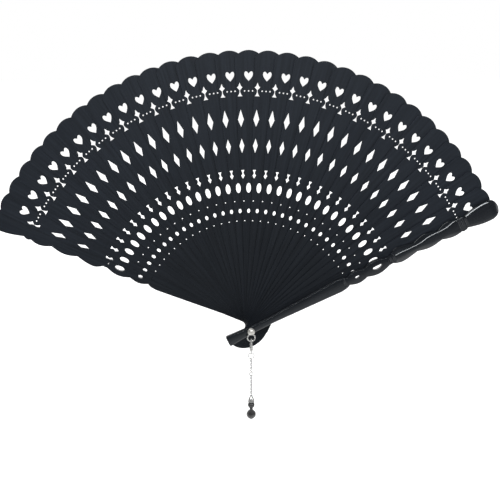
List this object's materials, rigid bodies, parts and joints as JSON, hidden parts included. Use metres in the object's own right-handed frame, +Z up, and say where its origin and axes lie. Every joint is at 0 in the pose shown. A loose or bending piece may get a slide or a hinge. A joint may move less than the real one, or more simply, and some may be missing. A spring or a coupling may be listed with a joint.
{
  "type": "folding fan",
  "caption": "Folding fan of pierced dark wooden blades between two carved glossy guards, turning on one rivet, with a ring, clasp, chain and bead pendant.",
  "frame": {"origin": "on the rivet's axis, halfway through the stack of blades, where the fan is held", "axes": "+X right across the open leaf, +Y to the back along the rivet, +Z up along the middle blade"},
  "size_m": [0.3549, 0.0338, 0.2591],
  "materials": {
    "blade_wood": "satin black stain over fine grain",
    "guard_lacquer": "high-gloss black lacquer",
    "rivet_steel": "polished pale nickel",
    "chain_silver": "bright silver plate",
    "bead_black": "glossy black"
  },
  "bodies": {
    "back_guard_and_rivet": {"guard_back": "guard_lacquer", "rivet": "rivet_steel", "rivet_burr": "rivet_steel", "rivet_spacer": "rivet_steel"},
    "front_guard": {"guard_front": "guard_lacquer"},
    "blade_01": {"blade_01": "blade_wood"},
    "blade_02": {"blade_02": "blade_wood"},
    "blade_03": {"blade_03": "blade_wood"},
    "blade_04": {"blade_04": "blade_wood"},
    "blade_05": {"blade_05": "blade_wood"},
    "blade_06": {"blade_06": "blade_wood"},
    "blade_07": {"blade_07": "blade_wood"},
    "blade_08": {"blade_08": "blade_wood"},
    "blade_09": {"blade_09": "blade_wood"},
    "blade_10": {"blade_10": "blade_wood"},
    "blade_11": {"blade_11": "blade_wood"},
    "blade_12": {"blade_12": "blade_wood"},
    "blade_13": {"blade_13": "blade_wood"},
    "blade_14": {"blade_14": "blade_wood"},
    "blade_15": {"blade_15": "blade_wood"},
    "blade_16": {"blade_16": "blade_wood"},
    "blade_17": {"blade_17": "blade_wood"},
    "blade_18": {"blade_18": "blade_wood"},
    "blade_19": {"blade_19": "blade_wood"},
    "blade_20": {"blade_20": "blade_wood"},
    "blade_21": {"blade_21": "blade_wood"},
    "blade_22": {"blade_22": "blade_wood"},
    "blade_23": {"blade_23": "blade_wood"},
    "blade_24": {"blade_24": "blade_wood"},
    "blade_25": {"blade_25": "blade_wood"},
    "blade_26": {"blade_26": "blade_wood"},
    "blade_27": {"blade_27": "blade_wood"},
    "blade_28": {"blade_28": "blade_wood"},
    "blade_29": {"blade_29": "blade_wood"},
    "blade_30": {"blade_30": "blade_wood"},
    "blade_31": {"blade_31": "blade_wood"},
    "ring": {"hanger_ring": "chain_silver"},
    "clasp": {"clasp_body": "chain_silver", "clasp_pin": "chain_silver"},
    "gate": {"clasp_gate": "chain_silver"},
    "jump": {"jump_ring": "chain_silver"},
    "upper_chain": {"chain_upper": "chain_silver"},
    "connector": {"connector_bar": "chain_silver", "connector_ring": "chain_silver"},
    "middle_chain": {"chain_middle": "chain_silver"},
    "lower_chain": {"chain_lower": "chain_silver"},
    "drop": {"head_pin": "chain_silver", "bead_cap": "chain_silver", "small_bead": "bead_black", "bead_spacer": "bead_black", "large_bead": "bead_black"}
  },
  "joints": [
    {"name": "front_guard_fold", "type": "hinge", "parent": "back_guard_and_rivet", "child": "front_guard", "pos_m": [0, 0, 0], "axis": [0, -1, 0], "range_deg": [0, 129.4]},
    {"name": "blade_01_fold", "type": "hinge", "parent": "back_guard_and_rivet", "child": "blade_01", "pos_m": [0, 0, 0], "axis": [0, -1, 0], "range_deg": [0, 126.68]},
    {"name": "blade_02_fold", "type": "hinge", "parent": "back_guard_and_rivet", "child": "blade_02", "pos_m": [0, 0, 0], "axis": [0, -1, 0], "range_deg": [0, 122.59]},
    {"name": "blade_03_fold", "type": "hinge", "parent": "back_guard_and_rivet", "child": "blade_03", "pos_m": [0, 0, 0], "axis": [0, -1, 0], "range_deg": [0, 118.51]},
    {"name": "blade_04_fold", "type": "hinge", "parent": "back_guard_and_rivet", "child": "blade_04", "pos_m": [0, 0, 0], "axis": [0, -1, 0], "range_deg": [0, 114.42]},
    {"name": "blade_05_fold", "type": "hinge", "parent": "back_guard_and_rivet", "child": "blade_05", "pos_m": [0, 0, 0], "axis": [0, -1, 0], "range_deg": [0, 110.34]},
    {"name": "blade_06_fold", "type": "hinge", "parent": "back_guard_and_rivet", "child": "blade_06", "pos_m": [0, 0, 0], "axis": [0, -1, 0], "range_deg": [0, 106.25]},
    {"name": "blade_07_fold", "type": "hinge", "parent": "back_guard_and_rivet", "child": "blade_07", "pos_m": [0, 0, 0], "axis": [0, -1, 0], "range_deg": [0, 102.17]},
    {"name": "blade_08_fold", "type": "hinge", "parent": "back_guard_and_rivet", "child": "blade_08", "pos_m": [0, 0, 0], "axis": [0, -1, 0], "range_deg": [0, 98.08]},
    {"name": "blade_09_fold", "type": "hinge", "parent": "back_guard_and_rivet", "child": "blade_09", "pos_m": [0, 0, 0], "axis": [0, -1, 0], "range_deg": [0, 94]},
    {"name": "blade_10_fold", "type": "hinge", "parent": "back_guard_and_rivet", "child": "blade_10", "pos_m": [0, 0, 0], "axis": [0, -1, 0], "range_deg": [0, 89.91]},
    {"name": "blade_11_fold", "type": "hinge", "parent": "back_guard_and_rivet", "child": "blade_11", "pos_m": [0, 0, 0], "axis": [0, -1, 0], "range_deg": [0, 85.83]},
    {"name": "blade_12_fold", "type": "hinge", "parent": "back_guard_and_rivet", "child": "blade_12", "pos_m": [0, 0, 0], "axis": [0, -1, 0], "range_deg": [0, 81.74]},
    {"name": "blade_13_fold", "type": "hinge", "parent": "back_guard_and_rivet", "child": "blade_13", "pos_m": [0, 0, 0], "axis": [0, -1, 0], "range_deg": [0, 77.66]},
    {"name": "blade_14_fold", "type": "hinge", "parent": "back_guard_and_rivet", "child": "blade_14", "pos_m": [0, 0, 0], "axis": [0, -1, 0], "range_deg": [0, 73.57]},
    {"name": "blade_15_fold", "type": "hinge", "parent": "back_guard_and_rivet", "child": "blade_15", "pos_m": [0, 0, 0], "axis": [0, -1, 0], "range_deg": [0, 69.49]},
    {"name": "blade_16_fold", "type": "hinge", "parent": "back_guard_and_rivet", "child": "blade_16", "pos_m": [0, 0, 0], "axis": [0, -1, 0], "range_deg": [0, 65.4]},
    {"name": "blade_17_fold", "type": "hinge", "parent": "back_guard_and_rivet", "child": "blade_17", "pos_m": [0, 0, 0], "axis": [0, -1, 0], "range_deg": [0, 61.32]},
    {"name": "blade_18_fold", "type": "hinge", "parent": "back_guard_and_rivet", "child": "blade_18", "pos_m": [0, 0, 0], "axis": [0, -1, 0], "range_deg": [0, 57.23]},
    {"name": "blade_19_fold", "type": "hinge", "parent": "back_guard_and_rivet", "child": "blade_19", "pos_m": [0, 0, 0], "axis": [0, -1, 0], "range_deg": [0, 53.15]},
    {"name": "blade_20_fold", "type": "hinge", "parent": "back_guard_and_rivet", "child": "blade_20", "pos_m": [0, 0, 0], "axis": [0, -1, 0], "range_deg": [0, 49.06]},
    {"name": "blade_21_fold", "type": "hinge", "parent": "back_guard_and_rivet", "child": "blade_21", "pos_m": [0, 0, 0], "axis": [0, -1, 0], "range_deg": [0, 44.98]},
    {"name": "blade_22_fold", "type": "hinge", "parent": "back_guard_and_rivet", "child": "blade_22", "pos_m": [0, 0, 0], "axis": [0, -1, 0], "range_deg": [0, 40.89]},
    {"name": "blade_23_fold", "type": "hinge", "parent": "back_guard_and_rivet", "child": "blade_23", "pos_m": [0, 0, 0], "axis": [0, -1, 0], "range_deg": [0, 36.81]},
    {"name": "blade_24_fold", "type": "hinge", "parent": "back_guard_and_rivet", "child": "blade_24", "pos_m": [0, 0, 0], "axis": [0, -1, 0], "range_deg": [0, 32.72]},
    {"name": "blade_25_fold", "type": "hinge", "parent": "back_guard_and_rivet", "child": "blade_25", "pos_m": [0, 0, 0], "axis": [0, -1, 0], "range_deg": [0, 28.64]},
    {"name": "blade_26_fold", "type": "hinge", "parent": "back_guard_and_rivet", "child": "blade_26", "pos_m": [0, 0, 0], "axis": [0, -1, 0], "range_deg": [0, 24.55]},
    {"name": "blade_27_fold", "type": "hinge", "parent": "back_guard_and_rivet", "child": "blade_27", "pos_m": [0, 0, 0], "axis": [0, -1, 0], "range_deg": [0, 20.47]},
    {"name": "blade_28_fold", "type": "hinge", "parent": "back_guard_and_rivet", "child": "blade_28", "pos_m": [0, 0, 0], "axis": [0, -1, 0], "range_deg": [0, 16.38]},
    {"name": "blade_29_fold", "type": "hinge", "parent": "back_guard_and_rivet", "child": "blade_29", "pos_m": [0, 0, 0], "axis": [0, -1, 0], "range_deg": [0, 12.3]},
    {"name": "blade_30_fold", "type": "hinge", "parent": "back_guard_and_rivet", "child": "blade_30", "pos_m": [0, 0, 0], "axis": [0, -1, 0], "range_deg": [0, 8.21]},
    {"name": "blade_31_fold", "type": "hinge", "parent": "back_guard_and_rivet", "child": "blade_31", "pos_m": [0, 0, 0], "axis": [0, -1, 0], "range_deg": [0, 4.13]},
    {"name": "ring_swing", "type": "hinge", "parent": "back_guard_and_rivet", "child": "ring", "pos_m": [0, -0.01617, 0], "axis": [0, 1, 0], "range_deg": [-60, 60]},
    {"name": "clasp_swing", "type": "hinge", "parent": "ring", "child": "clasp", "pos_m": [0, -0.01617, -0.00565], "axis": [0, 1, 0], "range_deg": [-25, 25]},
    {"name": "clasp_gate_open", "type": "hinge", "parent": "clasp", "child": "gate", "pos_m": [0, -0.01773, -0.01175], "axis": [-1, 0, 0], "range_deg": [0, 18], "stiffness_Nm_per_rad": 0.0002, "springref_deg": -11.46},
    {"name": "jump_ring_swing", "type": "hinge", "parent": "clasp", "child": "jump", "pos_m": [0, -0.01617, -0.0165], "axis": [0, 1, 0], "range_deg": [-25, 25]},
    {"name": "upper_chain_swing", "type": "hinge", "parent": "jump", "child": "upper_chain", "pos_m": [0, -0.01617, -0.01937], "axis": [0, 1, 0], "range_deg": [-30, 30]},
    {"name": "connector_swing", "type": "hinge", "parent": "upper_chain", "child": "connector", "pos_m": [0, -0.01617, -0.02761], "axis": [0, 1, 0], "range_deg": [-25, 25]},
    {"name": "middle_chain_swing", "type": "hinge", "parent": "connector", "child": "middle_chain", "pos_m": [0, -0.01617, -0.0323], "axis": [0, 1, 0], "range_deg": [-30, 30]},
    {"name": "lower_chain_swing", "type": "hinge", "parent": "middle_chain", "child": "lower_chain", "pos_m": [0, -0.01617, -0.03967], "axis": [0, 1, 0], "range_deg": [-25, 25]},
    {"name": "bead_drop_swing", "type": "hinge", "parent": "lower_chain", "child": "drop", "pos_m": [0, -0.01617, -0.046], "axis": [0, 1, 0], "range_deg": [-25, 25]}
  ],
  "couplings": [
    {"joint": "blade_01_fold", "follows": "front_guard_fold", "ratio": 0.97894},
    {"joint": "blade_02_fold", "follows": "front_guard_fold", "ratio": 0.94737},
    {"joint": "blade_03_fold", "follows": "front_guard_fold", "ratio": 0.9158},
    {"joint": "blade_04_fold", "follows": "front_guard_fold", "ratio": 0.88423},
    {"joint": "blade_05_fold", "follows": "front_guard_fold", "ratio": 0.85267},
    {"joint": "blade_06_fold", "follows": "front_guard_fold", "ratio": 0.8211},
    {"joint": "blade_07_fold", "follows": "front_guard_fold", "ratio": 0.78953},
    {"joint": "blade_08_fold", "follows": "front_guard_fold", "ratio": 0.75796},
    {"joint": "blade_09_fold", "follows": "front_guard_fold", "ratio": 0.72639},
    {"joint": "blade_10_fold", "follows": "front_guard_fold", "ratio": 0.69482},
    {"joint": "blade_11_fold", "follows": "front_guard_fold", "ratio": 0.66325},
    {"joint": "blade_12_fold", "follows": "front_guard_fold", "ratio": 0.63169},
    {"joint": "blade_13_fold", "follows": "front_guard_fold", "ratio": 0.60012},
    {"joint": "blade_14_fold", "follows": "front_guard_fold", "ratio": 0.56855},
    {"joint": "blade_15_fold", "follows": "front_guard_fold", "ratio": 0.53698},
    {"joint": "blade_16_fold", "follows": "front_guard_fold", "ratio": 0.50541},
    {"joint": "blade_17_fold", "follows": "front_guard_fold", "ratio": 0.47384},
    {"joint": "blade_18_fold", "follows": "front_guard_fold", "ratio": 0.44227},
    {"joint": "blade_19_fold", "follows": "front_guard_fold", "ratio": 0.4107},
    {"joint": "blade_20_fold", "follows": "front_guard_fold", "ratio": 0.37913},
    {"joint": "blade_21_fold", "follows": "front_guard_fold", "ratio": 0.34757},
    {"joint": "blade_22_fold", "follows": "front_guard_fold", "ratio": 0.316},
    {"joint": "blade_23_fold", "follows": "front_guard_fold", "ratio": 0.28443},
    {"joint": "blade_24_fold", "follows": "front_guard_fold", "ratio": 0.25286},
    {"joint": "blade_25_fold", "follows": "front_guard_fold", "ratio": 0.22129},
    {"joint": "blade_26_fold", "follows": "front_guard_fold", "ratio": 0.18972},
    {"joint": "blade_27_fold", "follows": "front_guard_fold", "ratio": 0.15815},
    {"joint": "blade_28_fold", "follows": "front_guard_fold", "ratio": 0.12658},
    {"joint": "blade_29_fold", "follows": "front_guard_fold", "ratio": 0.095015},
    {"joint": "blade_30_fold", "follows": "front_guard_fold", "ratio": 0.063447},
    {"joint": "blade_31_fold", "follows": "front_guard_fold", "ratio": 0.031878}
  ]
}
